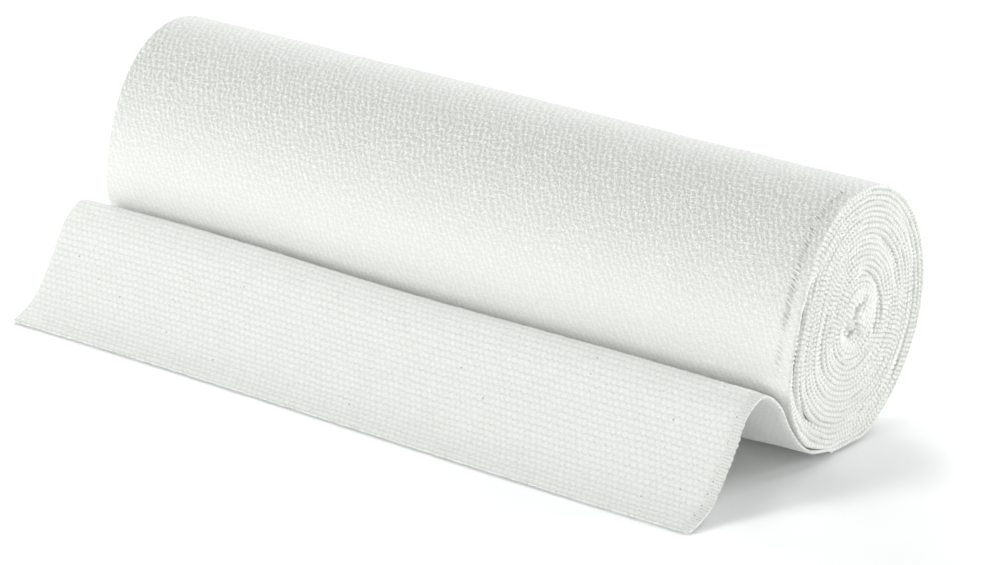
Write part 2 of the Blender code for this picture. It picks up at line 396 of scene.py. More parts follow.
OUTSIDE_TURN_STEP = 0.60
OUTSIDE_ACROSS_STEP = 0.42
OUTSIDE_START = math.radians(-1.2)
OUTSIDE_SPLIT = math.radians(137)  # the outer turn is made in two pieces that meet behind the top
OUTSIDE_END = math.radians(372.6)
CREPE_HEIGHT = 0.07
RIM_IN = 0.38  # the outer turn's face stops short of the rim, where the edge loops take over
RIM_ROLL = ((0.22, 0.06), (0.04, 0.22), (0.0, 0.5))  # its last points: how far inside its rim, and how far down
UNDER_LOOPS = 0.04  # the face lies this much below the loops' outer wall
LADDER_IN = 3.5  # the open line inside the right rim, where the weft floats from crepe to selvedge
LADDER_HALF = 0.85
LADDER_BAND = 1.4  # the face has closer points this far on either side of the line
LADDER_PITCH = 1.27
LADDER_SLANT = 0.5
LADDER_DEPTH = 0.35
LADDER_MIDDLE = 121.0  # where along the strip it stands open most
LADDER_REACH = 19.0
LADDER_FROM, LADDER_TO = 80, 150


def ladder_opening(s):
    """How open the ladder line is along the strip, 0 to 1: most where the turn comes over to the front."""
    here = smooth_step(0.8 + 0.6 * wander(s / 5, s * 0, 15))
    return here * (0.10 + 0.90 * bump((s - LADDER_MIDDLE) / LADDER_REACH))


def ladder_phase(x, s):
    """Counted places of the ladder line's floats, which slant down towards the rim."""
    return (s - LADDER_SLANT * np.abs(x)) / LADDER_PITCH + 0.25 * wander(s / 2.3, x * 0, 14)


def puckering(s):
    """How strongly the crepe puckers, in its relief and in the painted shade of its colour: most over the top,
    least where the strip is drawn tight at the front.
    """
    over_the_top = 0.35 + 0.65 * smooth_step((s - 82) / 24)
    return 0.35 + 0.80 * over_the_top * (1 - smooth_step((s - 104) / 36))


def outside_columns(rim):
    """Places across the outer turn's face, and how far each drops as the face rolls over at its rims."""
    band_in, band_out = rim - LADDER_IN - LADDER_BAND, rim - LADDER_IN + LADDER_BAND
    plain = np.linspace(-band_in, band_in, int(2 * band_in / OUTSIDE_ACROSS_STEP))
    band = np.linspace(band_in, band_out, 11)[1:]
    outer = np.linspace(band_out, rim - 0.5, 6)[1:]
    roll, roll_drop = np.array(RIM_ROLL).T
    half = np.concatenate([band, outer, rim - roll])
    half_drop = np.concatenate([np.zeros(len(band) + len(outer)), roll_drop])
    x = np.concatenate([-half[::-1], plain, half])
    return x, np.concatenate([half_drop[::-1], np.zeros(len(plain)), half_drop])


def wound_outside(name, first, last, material):
    """A stretch of the outermost turn's outer face: its crepe and cockles, rolled over softly at both rims."""
    rim = CLOTH_WIDTH / 2 - RIM_IN
    turned = np.linspace(first, last, int(ROLL_RADIUS * (last - first) / OUTSIDE_TURN_STEP) + 1)
    x, drop = outside_columns(rim)
    turned, x = np.meshgrid(turned, x, indexing="ij")
    y, z, _ = wound_place(turned, x)
    out_y, out_z = outward_of(y, z)
    s = strip_length(turned)
    crown, row = crepe_places(x, s)
    pucker = puckering(s)
    crepe = (crown_relief(crown, row, CREPE_CROWN) - 0.5) * (0.75 + 0.5 * wander(x / 1.3, s / 1.2, 13))
    crepe = crepe * smooth_step((rim - 0.4 - np.abs(x)) / 1.2) * pucker
    cockle = 0.16 * wander(x / 9, s / 11, 11) + 0.06 * wander(x / 3.4, s / 3.0, 12)
    cockle = cockle * smooth_step((rim + 1 - np.abs(x)) / 7)
    off_floor = smooth_step((z - 0.6) / 3)
    opened = bump((rim - LADDER_IN - x) / LADDER_HALF) * ladder_opening(s)
    holes = opened * smooth_step(1.4 * np.cos(2 * math.pi * ladder_phase(x, s)) - 0.2)
    lift = CLOTH_THICKNESS / 2 - UNDER_LOOPS - drop
    lift = lift + (cockle + CREPE_HEIGHT * crepe) * off_floor - LADDER_DEPTH * holes
    points = to_row(x, y + out_y * lift, z + out_z * lift)
    uv = np.stack([x, s], -1).reshape(-1, 2)
    places = np.stack([crown, row], -1).reshape(-1, 2)
    face = mesh_of(name, points.reshape(-1, 3), [grid_faces(*x.shape)], uv, material, places)
    keep(face, "relief", 1 - opened)
    keep(face, "pucker", pucker)
    face_towards(face, np.stack([np.zeros_like(out_y), out_y, out_z], -1).reshape(-1, 3))
    return face


# One turn's edge from its inner wall over its loops to its outer wall: share of the half thickness, depth
EDGE_PROFILE = (
    (-1.06, 1.3), (-1.06, 0.38), (-0.80, 0.17), (-0.42, 0.04), (0.0, 0.0),
    (0.42, 0.04), (0.80, 0.17), (1.06, 0.38), (1.06, 1.3),
)
LOOP_DEPTH = 0.54  # the notch between two loops
LOOP_ROUNDNESS = 0.8
RIGHT_LOOP_PARTS = (0.0, 0.2, 0.5, 0.8)  # the same places of every loop
LEFT_LOOP_PARTS = (0.0, 0.3, 0.7)
LOOP_PINCH = 0.48  # a turn's edge is this much narrower between its loops
LOOP_SWAY = 0.10
TURN_FILL = 0.985  # the turns all but touch
TURNS_UNEVEN = 0.13  # each turn stands a little in or out of its neighbours
FACE_UNEVEN = 0.12
DRAWN_SMOOTH = 0.7  # beside the folded inner end the loops are drawn out smooth
DRAWN_PLACE = (4.4, -0.4)
DRAWN_REACH = 3.0
OUTER_WALL = 0.40  # how far the outermost turn's edge reaches out under its face
LIP = 0.8  # the same edge hangs down a little where the loose end leaves the roll
LIP_ANGLE = math.radians(231)
LIP_SPREAD = math.radians(8)
OFF_FLOOR = 0.05  # no point comes nearer the floor


def heart_sink(y, z, reach):
    """How far the first turns lie inside the face: a shallow dish, and a hollow beside the folded inner end."""
    dish = 0.5 * (1 - smooth_step(reach / HEART_REACH))
    hollow = 0.8 * bump(np.hypot(y + 4.5, (z + 2.2) / 2.4) / 1.1) + 0.6 * bump(np.hypot(y + 0.1, z - 2.5) / 0.8)
    return dish + hollow + 1.2 * bump(np.hypot(y - 3.1, z - 3.9) / 0.55)


def loop_sections(side, parts):
    """(turned, length along the strip, counted loops) at the same places of every weft loop, root to heart."""
    nominal = np.arange(-1.0, ROLL_RADIUS * math.pi * TURNS * 0.9985, 0.1)
    turned = turned_at(nominal)
    y, z, _ = wound_place(turned, np.full_like(turned, side * CLOTH_WIDTH / 2))
    length = np.concatenate([[0], np.cumsum(np.hypot(np.diff(y), np.diff(z)))])
    counted = length / LOOP_PITCH + 0.35 * wander(length / 9, turned * 0, 24)
    counted = counted + 2.2 * wander(length / 50, turned * 0, 27)
    wanted = (np.arange(1, int(counted[-1]))[:, None] + np.array(parts)).ravel()
    return np.interp(wanted, counted, turned), np.interp(wanted, counted, length), wanted


def turn_shift(angle, reach, turned, y, z):
    """How far each place of the turns stands towards -X: their slides, and each one's own unevenness."""
    turn = turned / (2 * math.pi)
    shift = slide(angle, reach)
    shift += TURNS_UNEVEN * wander(turn, 2.2 * np.cos(angle) + 7, 21)
    shift += TURNS_UNEVEN * wander(turn + 30, 2.2 * np.sin(angle) + 9, 22)
    return shift + FACE_UNEVEN * wander(y / 5, z / 5, 23)


def wound_end(name, side, parts, material):
    """All the turns' edges at one end of the roll, as one unbroken spiral of weft loops."""
    turned, length, counted = loop_sections(side, parts)
    y, z, reach = wound_place(turned, np.full_like(turned, side * CLOTH_WIDTH / 2))
    out_y, out_z = outward_of(y, z)
    angle = ROOT_ANGLE + turned
    shift = turn_shift(angle, reach, turned, y, z)
    sink = heart_sink(y, z - AXIS_HEIGHT, reach)
    drawn = np.hypot(y - DRAWN_PLACE[0], z - AXIS_HEIGHT - DRAWN_PLACE[1])
    drawn_smooth = DRAWN_SMOOTH * bump(drawn / DRAWN_REACH)
    loop = 1 - (1 - np.abs(np.sin(math.pi * counted)) ** LOOP_ROUNDNESS) * (1 - drawn_smooth)
    which = np.floor(counted)
    plump = 0.5 + 0.5 * wander(which * 0.71, which * 0.37, 25)
    sway = LOOP_SWAY * wander(length / 1.7, turned * 0 + 3, 26)
    half = 0.5 * outline_radius(angle, 0.5 + side / 2) / TURNS * TURN_FILL
    outermost = 1 - smooth_step((turned - 2 * math.pi) / 0.3)
    lip = LIP * bump(angle_between(angle, LIP_ANGLE) / LIP_SPREAD) * outermost
    # From here on each loop section is a row, and its profile runs across the columns
    share, depth = np.array(EDGE_PROFILE).T
    top = np.exp(-((depth / 0.9) ** 2))
    loop, plump = loop[:, None], plump[:, None]
    across = share * (half[:, None] * (1 - LOOP_PINCH * (1 - loop) * top)) + sway[:, None] * top
    across = np.minimum(across, OUTER_WALL + (1 - outermost[:, None]))
    across = across + lip[:, None] * np.maximum(share, 0)
    inward = depth + LOOP_DEPTH * ((1 - loop) + 0.45 * (1 - plump) * loop) * top
    x = side * (CLOTH_WIDTH / 2 - inward - sink[:, None]) - shift[:, None]
    points = to_row(x, y[:, None] + out_y[:, None] * across, z[:, None] + out_z[:, None] * across)
    points[..., 2] = np.maximum(points[..., 2], OFF_FLOOR)
    over_edge = np.broadcast_to(np.cumsum(np.full(len(share), 0.28)), x.shape)
    uv = np.stack([over_edge, np.broadcast_to(length[:, None], x.shape)], -1)
    spiral = mesh_of(name, points.reshape(-1, 3), [grid_faces(*x.shape)], uv.reshape(-1, 2), material)
    face_towards(spiral, np.tile([side, 0.0, 0.0], (x.size, 1)))
    # Colour: painted shade in the notches between loops and down the turns' walls, and each loop's own tone
    keep(spiral, "relief", 1 - 0.62 * (1 - loop) * top - 0.7 * np.minimum(depth, 0.42) + 0.12 * (plump - 0.5))
    return spiral


# ---------------------------------------------------------------- the loose end

ACROSS_STEP = KNUCKLE_PITCH / 4
ALONG_STEP = RIB_PITCH / 4
HIDDEN = 9.0  # the first stretch, under the roll, has wider steps
HIDDEN_STEP = 1.5
RELIEF_HEIGHT = 0.30
BACK_STEPS_ACROSS, BACK_STEPS_ALONG = 118, 46
EDGE_SETBACK = 0.3
EDGE_PRESSED = 0.16  # the cloth is thinner along its edges
EDGE_HALF = 0.42
EDGE_TURNS = np.radians([48, 0, -48])  # the rings of points round an edge, from its top to its underside
KNOB = 0.38  # how far the weft loops stand out along the side edges, and the cut warp along the front
FRONT_YARN_PITCH = 0.9
LOOSE_PUCKER = 0.2  # its underside is drawn nearly smooth, with little painted shade


def loose_grid(s, x):
    """Middle points and upward directions of the loose end on a grid of places along and across."""
    s, x = np.meshgrid(s, x, indexing="ij")
    y, z = loose_place(s / LOOSE_LENGTH, x)
    out_y, out_z = outward_of(y, z)
    return s, x, to_row(x, y, z), np.stack([np.zeros_like(out_y), out_y, out_z], -1)


def boundary(rows, columns, start=0):
    """Index rows of a grid's four sides in turn, each from corner to corner, running round the same way."""
    index = start + np.arange(rows * columns).reshape(rows, columns)
    return [index[:, -1], index[-1, ::-1], index[::-1, 0], index[0, :]]


def ribbed_relief(s, x, crown, row):
    """Height of the ribbed face: its crowns, and a dashed selvedge with an open line inside it at the right."""
    from_side = CLOTH_WIDTH / 2 - np.abs(x)
    shown = np.where(x > 0, 1.0, LEFT_BAND)
    relief = crown_relief(crown, row, PLAIN_CROWN) * (0.92 + 0.22 * wander(x / 1.7 + 31, s / 1.5, 6))
    band = smooth_step((SELVEDGE_WIDTH + 0.5 - from_side) / 0.8) * shown
    dashes = 0.35 + 0.5 * np.abs(np.cos(math.pi * s / RIB_PITCH * 2)) * (0.6 + 0.4 * wander(s / 0.8, x / 4, 31))
    gap = bump((from_side - SELVEDGE_WIDTH) / 0.35) * shown
    relief = relief * (1 - band) + dashes * band
    relief = np.clip(relief - 0.55 * gap * (0.5 + 0.5 * wander(s / 1.4, x * 0, 32)), 0, 1.2)
    return relief * smooth_step((LOOSE_LENGTH - s) / 1.2)


def edge_directions(up, sides):
    """Which way is out of the cloth at each point round its edges, corner to corner."""
    along = np.cross(up, [1.0, 0, 0]).reshape(-1, 3)
    along *= np.sign(along[:, 1:2]) * -1
    across = np.tile([1.0, 0, 0], (len(sides[0]), 1))
    outs = [across, along[sides[1]], -across, -along[sides[3]]]
    joined = []
    for k in range(4):
        out = outs[k].copy()
        out[0] = (outs[k][0] + outs[k - 1][-1]) / 2
        joined.append(out[:-1])
    return np.concatenate(joined)


class Cloth:
    """Points of one mesh with what its materials read, gathered layer by layer."""

    def __init__(self):
        self.points, self.uv, self.places, self.relief = [], [], [], []

    def take(self, points, x, s, crown, row, relief):
        """Adds a layer of points and gives the number of its first."""
        start = sum(len(layer) for layer in self.points)
        self.points.append(points.reshape(-1, 3))
        self.uv.append(np.stack([x, s], -1).reshape(-1, 2))
        self.places.append(np.stack([crown, row], -1).reshape(-1, 2))
        self.relief.append(np.broadcast_to(relief, x.shape).ravel())
        return start


def loose_end(face_material, back_material):
    """The free stretch of the strip: ribbed above, crepe beneath, with looped side edges and a cut front."""
    cloth = Cloth()
    edge_x, edge_s = CLOTH_WIDTH / 2 - EDGE_SETBACK, LOOSE_LENGTH - EDGE_SETBACK
    s_steps = np.concatenate([np.arange(0, HIDDEN, HIDDEN_STEP), np.arange(HIDDEN, edge_s, ALONG_STEP)])
    x_steps = np.linspace(-edge_x, edge_x, int(CLOTH_WIDTH / ACROSS_STEP) + 1)
    s, x, middle, up = loose_grid(s_steps, x_steps)
    crown, row = crown_places(x, s)
    relief = ribbed_relief(s, x, crown, row)
    from_edge = np.minimum(CLOTH_WIDTH / 2 - np.abs(x), LOOSE_LENGTH - s)
    pressed = EDGE_PRESSED * smooth_step(1 - from_edge / 1.3)
    lift = CLOTH_THICKNESS / 2 - pressed - RELIEF_HEIGHT * (1 - relief)
    cloth.take(middle + up * lift[..., None], x, s, crown, row, relief)
    top_faces = grid_faces(*x.shape)
    sides = boundary(*x.shape)

    s_wide = np.linspace(s_steps[0], s_steps[-1], BACK_STEPS_ALONG)
    x_wide = np.linspace(x_steps[0], x_steps[-1], BACK_STEPS_ACROSS)
    s_back, x_back, back_middle, back_up = loose_grid(s_wide, x_wide)
    cockle = 0.07 * wander(x_back / 4, s_back / 4, 33) * smooth_step(back_middle[..., 2] / 3)
    back = back_middle - back_up * (CLOTH_THICKNESS / 2 - 0.05 + cockle)[..., None]
    back_start = cloth.take(back, x_back, s_back, *crepe_places(x_back, s_back), 1.0)
    back_faces = grid_faces(*x_back.shape, back_start, flip=True)
    back_sides = boundary(*x_back.shape, back_start)

    ring = np.concatenate([side[:-1] for side in sides])
    ring_x, ring_s, ring_crown, ring_row = (values.ravel()[ring] for values in (x, s, crown, row))
    ring_middle, ring_up = middle.reshape(-1, 3)[ring], up.reshape(-1, 3)[ring]
    ring_out = edge_directions(up, sides)
    looped = np.concatenate([np.full(len(side) - 1, k % 2 == 0) for k, side in enumerate(sides)])
    travel = np.where(looped, ring_s, ring_x)
    pitch = np.where(looped, RIB_PITCH, FRONT_YARN_PITCH)
    knob = KNOB * np.abs(np.cos(math.pi * travel / pitch)) + 0.14 * wander(travel / 1.3, looped * 5.0, 34)
    rings = [ring]
    for turn in EDGE_TURNS:
        out = EDGE_SETBACK * math.cos(turn) + knob * math.cos(turn) ** 2 - 0.1
        points = ring_middle + ring_out * out[:, None] + ring_up * (EDGE_HALF * math.sin(turn))
        # The edge's colour: painted shade, darkest between the knobs
        shown = np.clip(2.0 * knob + 0.1, 0, 1)
        start = cloth.take(points, ring_x + 0.3, ring_s, ring_crown, ring_row, shown)
        rings.append(start + np.arange(len(ring)))
    edge_faces = []
    for upper, lower in zip(rings[:-1], rings[1:]):
        edge_faces.append(np.stack([upper, np.roll(upper, -1), np.roll(lower, -1), lower], -1)[:, ::-1])

    zipped = []
    where = [s.ravel(), -x.ravel(), -s.ravel(), x.ravel()]
    back_where = [s_back.ravel(), -x_back.ravel(), -s_back.ravel(), x_back.ravel()]
    starts = np.concatenate([[0], np.cumsum([len(side) - 1 for side in sides])])
    for k in range(4):
        last_ring = rings[-1][(np.arange(len(sides[k])) + starts[k]) % len(ring)]
        back_place = back_where[k][back_sides[k] - back_start]
        zipped.append(zip_rows(last_ring, back_sides[k], where[k][sides[k]], back_place))

    faces = [top_faces, *edge_faces, back_faces, *zipped]
    piece = mesh_of("loose_end_cloth", np.concatenate(cloth.points), faces, np.concatenate(cloth.uv),
                    face_material, np.concatenate(cloth.places))
    piece.data.materials.append(back_material)
    slots = np.zeros(len(piece.data.polygons), np.int32)
    first_back = len(top_faces) + sum(len(f) for f in edge_faces)
    slots[first_back : first_back + len(back_faces)] = 1
    piece.data.polygons.foreach_set("material_index", slots)
    keep(piece, "relief", np.concatenate(cloth.relief))
    keep(piece, "pucker", np.full(len(piece.data.vertices), LOOSE_PUCKER))
    shape = bmesh.new()
    shape.from_mesh(piece.data)
    bmesh.ops.recalc_face_normals(shape, faces=shape.faces)
    shape.to_mesh(piece.data)
    shape.free()
    return piece


# ---------------------------------------------------------------- the ladder line's floats

FLOAT_RADIUS = 0.12
FLOAT_SIDES = 5


def tubes(name, lines, material):
    """Fine threads as one mesh: each line is a row of points in the frame, thinning at both ends."""
    points, faces, uv, start = [], [], [], 0
    turn = np.linspace(0, 2 * math.pi, FLOAT_SIDES, endpoint=False)
    for line in lines:
        line = np.asarray(line, float)
        ahead = np.gradient(line, axis=0)
        ahead /= np.linalg.norm(ahead, axis=1)[:, None]
        side = np.cross(ahead, [0.31, 0.22, 0.93])
        side /= np.linalg.norm(side, axis=1)[:, None]
        over = np.cross(ahead, side)
        from_end = np.minimum(np.arange(len(line)), np.arange(len(line))[::-1])
        taper = FLOAT_RADIUS * np.clip(from_end * 0.6 + 0.45, 0, 1)
        round_it = np.cos(turn)[None, :, None] * side[:, None] + np.sin(turn)[None, :, None] * over[:, None]
        ring = line[:, None] + taper[:, None, None] * round_it
        index = start + np.arange(len(line) * FLOAT_SIDES).reshape(len(line), FLOAT_SIDES)
        after = np.roll(index, -1, axis=1)
        faces.append(np.stack([index[:-1], after[:-1], after[1:], index[1:]], -1).reshape(-1, 4))
        points.append(ring.reshape(-1, 3))
        uv.append(np.stack([np.tile(turn, len(line)), np.repeat(np.arange(len(line)), FLOAT_SIDES)], -1))
        start += len(line) * FLOAT_SIDES
    threads = mesh_of(name, np.concatenate(points), [np.concatenate(faces)], np.concatenate(uv), material)
    keep(threads, "relief", np.ones(start))
    return threads


def outside_spot(turned, x, lift):
    """Points just above the outermost turn's outer face."""
    near = turned + 0.002
    y, z, _ = wound_place(turned, x)
    y1, z1, _ = wound_place(near, x)
    length = np.hypot(y1 - y, z1 - z)
    return to_row(x, y + (z1 - z) / length * lift, z - (y1 - y) / length * lift)


def ladder_floats(material):
    """The weft floats that show where the ladder line stands open, slanting across it in ones and twos."""
    pick = np.random.default_rng(41)
    lines = []
    middle = CLOTH_WIDTH / 2 - RIM_IN - LADDER_IN
    along = np.linspace(-1, 1, 6)
    for s in np.arange(LADDER_FROM, LADDER_TO, 0.04):
        before, after = ladder_phase(np.array([middle, middle]), np.array([s - 0.02, s + 0.02]))
        if math.floor(before - 0.5) == math.floor(after - 0.5) or ladder_opening(np.array([s]))[0] < 0.2:
            continue
        for strand in range(pick.integers(1, 3)):
            reach = 0.85 + 0.35 * pick.random()
            x = middle + along * reach + pick.uniform(-0.2, 0.2)
            slant = LADDER_SLANT * pick.uniform(0.5, 1.6) * along * reach
            here = s + slant + 0.3 * strand + pick.uniform(-0.12, 0.12)
            arched = CLOTH_THICKNESS / 2 + 0.08 - 0.25 * np.abs(along) ** 3
            lines.append(outside_spot(turned_at(here), x, arched))
    return tubes("ladder_floats", lines, material)


# ---------------------------------------------------------------- the heart

# The folds of the strip's inner end, at the roll's heart: (half width, height above the dish), then the
# course's places forward of the axis, negative towards the front, and above it
INNER_FOLDS = (
    ((0.66, 1.40), (1.9, 3.3), (1.2, 2.6), (0.5, 1.7), (-0.2, 0.9), (-0.4, 0.1), (-0.4, -0.9)),
    ((0.40, 1.30), (-0.5, -1.6), (0.4, -1.9), (1.3, -2.9), (2.5, -4.3)),
    ((0.32, 0.95), (-3.6, 0.10), (-2.4, 0.00), (-1.0, 0.20)),
    ((0.32, 1.00), (-3.7, -0.60), (-2.4, -0.72), (-1.0, -0.50)),
    ((0.34, 0.95), (-3.5, -1.30), (-2.3, -1.45), (-0.9, -1.25)),
    ((0.95, 0.62), (2.0, 1.1), (2.5, 0.0), (3.0, -1.0), (3.6, -2.2)),
)


FOLD_ENDS = 0.12  # how full a fold still is at its very ends
FOLD_FOOT = -4.0  # the folds' sides run down into the roll
HEART_FLOOR = 5.0  # the cloth packed behind the folds
HEART_FLOOR_IN = 1.75
# the packed cloth's colour is held dark, as painted shade behind the folds
HEART_FLOOR_RELIEF = 0.3


def inner_fold(number, half_width, tall, course, side):
    """One fold of the inner end: a bead-edged ridge along its course, with its points, places and relief,
    whose colour darkens down its sides as painted shade.
    """
    profile = np.radians(np.linspace(-90, 90, 9))
    course, length = smooth_course(course, 8 * len(course))
    out_y, out_z = outward_of(course[:, 0], course[:, 1])
    along = np.linspace(0, 1, len(course)) * length
    taper = smooth_step(np.minimum(along, length - along) / half_width * 0.9 + FOLD_ENDS)
    bead = np.abs(np.sin(math.pi * (along / LOOP_PITCH + 0.3 * number))) ** LOOP_ROUNDNESS
    width = half_width * (0.80 + 0.20 * bead) * taper
    across = np.sin(profile)[None, :] * width[:, None]
    rise = tall * np.cos(profile)[None, :] * (0.72 + 0.28 * bead[:, None]) * taper[:, None]
    foot = np.full((len(course), 1), FOLD_FOOT)
    proud = np.concatenate([foot, rise - 1.0, foot], axis=1)
    across = np.concatenate([across[:, :1], across, across[:, -1:]], axis=1)
    x = side * (CLOTH_WIDTH / 2 + proud)
    y = course[:, :1] + out_y[:, None] * across
    z = AXIS_HEIGHT + course[:, 1:] + out_z[:, None] * across
    uv = np.stack([across + 3 * number, np.broadcast_to(along[:, None], x.shape)], -1)
    return to_row(x, y, z), uv, np.clip(0.45 + 0.55 * (proud + 1.0) / tall, 0.2, 1)


def heart_floor(side):
    """The cloth behind the folds: a crumpled round, with its points, places and relief, held low as painted
    shade.
    """
    reach, turn = np.linspace(0.05, HEART_FLOOR, 12)[:, None], np.linspace(0, 2 * math.pi, 37)
    y, z = reach * np.cos(turn), reach * np.sin(turn)
    x = side * (CLOTH_WIDTH / 2 - HEART_FLOOR_IN + 0.3 * wander(y / 0.9, z / 0.9, 52))
    return to_row(x, y, AXIS_HEIGHT + z), np.stack([y + 40, z], -1), np.full(x.shape, HEART_FLOOR_RELIEF)


def inner_end(name, side, material):
    """The strip's first end, folded on itself and twisted: it fills the hollow at the roll's heart."""
    patches = [inner_fold(number, *size, course, side) for number, (size, *course) in enumerate(INNER_FOLDS)]
    patches.append(heart_floor(side))
    faces, start = [], 0
    for points, _, _ in patches:
        faces.append(grid_faces(*points.shape[:2], start, flip=len(faces) == len(INNER_FOLDS)))
        start += points.shape[0] * points.shape[1]
    points = np.concatenate([patch[0].reshape(-1, 3) for patch in patches])
    uv = np.concatenate([patch[1].reshape(-1, 2) for patch in patches])
    folded = mesh_of(name, points, faces, uv, material)
    face_towards(folded, np.tile([side, 0.0, 0.0], (len(points), 1)))
    keep(folded, "relief", np.concatenate([patch[2].ravel() for patch in patches]))
    return folded


# ---------------------------------------------------------------- finishes

# Cotton: matt, with a faint sheen from the fibres that stand off its yarns
COTTON_ROUGHNESS = 0.9
COTTON_SPECULAR = 0.25
COTTON_SHEEN_ROUGHNESS = 0.5
BODY_PLACE = 0.42  # the body colour's place between the gaps' and the crowns'
# Noise in soft hills, and in hills with fibres on them. In strip places its Scale is hills to a millimetre
SMOOTH = {"Detail": 1.0, "Roughness": 0.6}
FIBROUS = {"Detail": 3.0, "Roughness": 0.6}


def linear(code, alpha=1.0):
    """A colour's sRGB hex value as linear light."""
    parts = [int(code[i : i + 2], 16) / 255 for i in (1, 3, 5)]
    return (*[c / 12.92 if c <= 0.04045 else ((c + 0.055) / 1.055) ** 2.4 for c in parts], alpha)


def add(tree, kind, *inputs, output=0, **settings):
    """Adds a node and gives one of its outputs. The node's operation may follow its kind. inputs are in order,
    or by name in a dictionary: a value is set on the socket, and another node's output is linked to it."""
    kind, _, operation = kind.partition(" ")
    node = tree.nodes.new("ShaderNode" + kind)
    if operation:
        node.operation = operation
    for option, value in settings.items():
        setattr(node, option, value)
    named = inputs[0] if inputs and isinstance(inputs[0], dict) else dict(enumerate(inputs))
    for place, value in named.items():
        if isinstance(value, bpy.types.NodeSocket):
            tree.links.new(value, node.inputs[place])
        else:
            node.inputs[place].default_value = value
    return node.outputs[output]


def blank(name):
    """A new material, its node adder and its shader."""
    material = bpy.data.materials.new(name)
    material.use_nodes = True
    return material, functools.partial(add, material.node_tree), material.node_tree.nodes["Principled BSDF"]


def strip_places(node):
    """Millimetres across and along the strip, as a vector and its two parts."""
    place = node("VectorMath SCALE", {0: node("UVMap", uv_map="strip"), "Scale": 1000.0})
    parts = node("SeparateXYZ", place).node
    return place, parts.outputs[0], parts.outputs[1]


def weave_places(node):
    """Counted threads across and along, as the cloth's own two numbers."""
    parts = node("SeparateXYZ", node("UVMap", uv_map="weave")).node
    return parts.outputs[0], parts.outputs[1]


def finish_cotton(node, shader, height, shade, depth, colours, sheen):
    """Colours the weave from its gaps over its body to its crowns: where this follows depth, the gaps' dark
    colour is painted shade. Its height is pressed in, depth in metres.
    """
    colour = node("ValToRGB", {"Fac": shade})
    ramp = colour.node.color_ramp
    for element, place, code in zip(ramp.elements, (0.0, 1.0), (colours[0], colours[2])):
        element.position, element.color = place, linear(code)
    ramp.elements.new(BODY_PLACE).color = linear(colours[1])
    tree = shader.id_data
    tree.links.new(colour, shader.inputs["Base Color"])
    tree.links.new(node("Bump", {"Height": height, "Strength": 1.0, "Distance": depth}), shader.inputs["Normal"])
    shader.inputs["Roughness"].default_value = COTTON_ROUGHNESS
    shader.inputs["Specular IOR Level"].default_value = COTTON_SPECULAR
    shader.inputs["Sheen Weight"].default_value = sheen
    shader.inputs["Sheen Roughness"].default_value = COTTON_SHEEN_ROUGHNESS
    return colour


def crown_nodes(node, crown, row, shape):
    """The plain weave's crowns, from 0 between them to 1, by the same rule as their relief."""
    half_width, half_length, slant = shape
    domes = []
    for step in (0.0, 1.0):
        which = node("Math ADD", node("Math FLOOR", row), step)
        along = node("Math SUBTRACT", row, which)
        stagger = node("Math MULTIPLY_ADD", node("Math FLOORED_MODULO", which, 2.0), 0.5, crown)
        stagger = node("Math MULTIPLY_ADD", along, -slant, stagger)
        aside = node("Math SUBTRACT", node("Math FLOORED_MODULO", stagger, 1.0), 0.5)
        wide = node("Math POWER", node("Math ABSOLUTE", node("Math DIVIDE", aside, half_width)), 2.0)
        long = node("Math POWER", node("Math ABSOLUTE", node("Math DIVIDE", along, half_length)), 2.0)
        dome = node("Math SUBTRACT", 1.0, node("Math ADD", wide, long), use_clamp=True)
        domes.append(node("Math SQRT", dome))
    return node("Math MAXIMUM", *domes)


